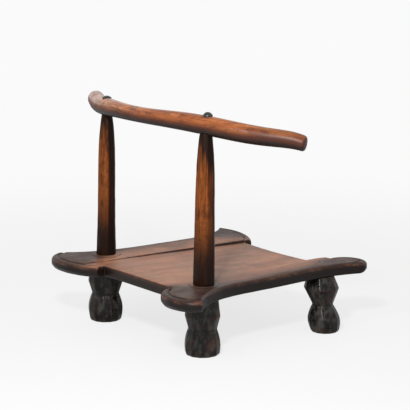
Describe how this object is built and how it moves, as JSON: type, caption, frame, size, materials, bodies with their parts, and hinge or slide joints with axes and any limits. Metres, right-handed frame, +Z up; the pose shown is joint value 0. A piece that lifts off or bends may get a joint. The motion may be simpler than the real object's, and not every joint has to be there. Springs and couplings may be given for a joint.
{
  "type": "birthing chair",
  "caption": "Low carved wooden birthing chair: a flared board seat on four stubby legs, with two posts that carry a bent back rail.",
  "frame": {"origin": "on the floor, under the middle of the chair's overall box", "axes": "+Z up, -Y towards the front, where the sitter faces, +X towards the sitter's left, along the back rail"},
  "size_m": [0.7417, 0.5604, 0.514],
  "materials": {
    "dark_hardwood": "hand-hewn, smoke-dark, worn satin",
    "blackened_hardwood": "hewn, blackened, satin",
    "polished_bough": "hand-polished by use",
    "forged_iron": "forged, dark, worn shiny"
  },
  "bodies": {
    "root": {"seat_board": "dark_hardwood", "leg_rear_left": "blackened_hardwood", "leg_rear_right": "blackened_hardwood", "leg_front_left": "blackened_hardwood", "leg_front_right": "blackened_hardwood", "post_left": "polished_bough", "post_right": "polished_bough", "back_rail": "polished_bough", "rail_stud_left": "forged_iron", "rail_stud_right": "forged_iron", "leg_spike_left": "forged_iron", "leg_spike_right": "forged_iron"}
  },
  "joints": []
}
